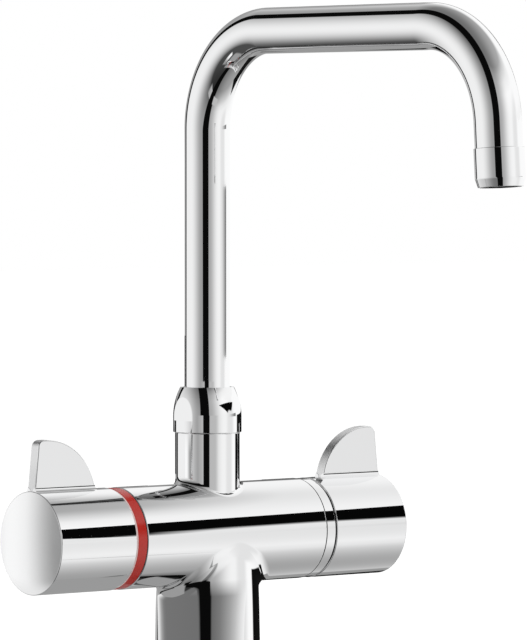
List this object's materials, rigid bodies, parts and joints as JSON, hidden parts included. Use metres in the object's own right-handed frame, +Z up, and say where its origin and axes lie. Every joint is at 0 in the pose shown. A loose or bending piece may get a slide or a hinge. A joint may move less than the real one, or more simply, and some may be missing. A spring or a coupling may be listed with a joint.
{
  "type": "thermostatic kitchen mixer tap",
  "caption": "Deck-mounted thermostatic mixer tap: a bar body on a pillar with a finned handle at each end and a tall swivel spout.",
  "frame": {"origin": "centre of the pillar's base on the deck face", "axes": "+Z up along the pillar and riser; +X along the bar towards the flow handle, so the temperature handle is at -X; -Y towards the user, where the spout points"},
  "size_m": [0.213, 0.2498, 0.3885],
  "materials": {
    "chrome": "polished chrome plate",
    "brass": "machined",
    "steel": "turned stainless steel",
    "rubber": "moulded, black",
    "red_plastic": "moulded, red",
    "white_plastic": "moulded, white",
    "grey_plastic": "moulded, grey",
    "ceramic": "lapped"
  },
  "bodies": {
    "mixer": {"mixer_body": "chrome", "base_gasket": "rubber", "fixing_stud": "steel", "rubber_washer": "rubber", "clamp_washer": "steel", "fixing_nut": "brass", "inlet_filters": "steel", "check_valves": "white_plastic", "cartridge_sleeve": "white_plastic", "cartridge_seals": "rubber", "cartridge_cap": "grey_plastic", "cartridge_nut": "brass", "temperature_stop_ring": "grey_plastic", "temperature_ring": "red_plastic", "headwork_seal": "rubber", "headwork_body": "brass", "fixed_disc": "ceramic", "flow_stop_ring": "grey_plastic", "flow_ring": "chrome", "spout_nut": "chrome", "slip_bush": "white_plastic"},
    "thermostat": {"return_spring": "steel", "regulating_shuttle": "grey_plastic", "wax_element": "brass", "drive_plunger": "brass"},
    "temperature_control": {"temperature_spindle": "brass", "temperature_o_ring": "rubber", "temperature_handle": "chrome", "temperature_grub_screw": "steel"},
    "flow_control": {"moving_disc": "ceramic", "flow_spindle": "brass", "flow_o_ring": "rubber", "flow_handle": "chrome", "flow_grub_screw": "steel"},
    "spout": {"spout_tail": "brass", "spout_seals": "rubber", "spout_tube": "chrome", "outlet_nozzle": "chrome", "straightener_seal": "rubber", "flow_straightener": "grey_plastic"}
  },
  "joints": [
    {"name": "spout_swivel", "type": "hinge", "parent": "mixer", "child": "spout", "pos_m": [0, 0, 0.085], "axis": [0, 0, 1], "continuous": true},
    {"name": "temperature_turn", "type": "hinge", "parent": "mixer", "child": "temperature_control", "pos_m": [0, 0, 0.085], "axis": [1, 0, 0], "range_deg": [-45, 90]},
    {"name": "flow_turn", "type": "hinge", "parent": "mixer", "child": "flow_control", "pos_m": [0, 0, 0.085], "axis": [1, 0, 0], "range_deg": [0, 90]},
    {"name": "thermostat_slide", "type": "slide", "parent": "mixer", "child": "thermostat", "axis": [1, 0, 0], "range_m": [-0.0005, 0.001], "deforming": ["return_spring"]}
  ],
  "couplings": [
    {"joint": "thermostat_slide", "follows": "temperature_turn", "m_per_rad": 0.0006366}
  ]
}
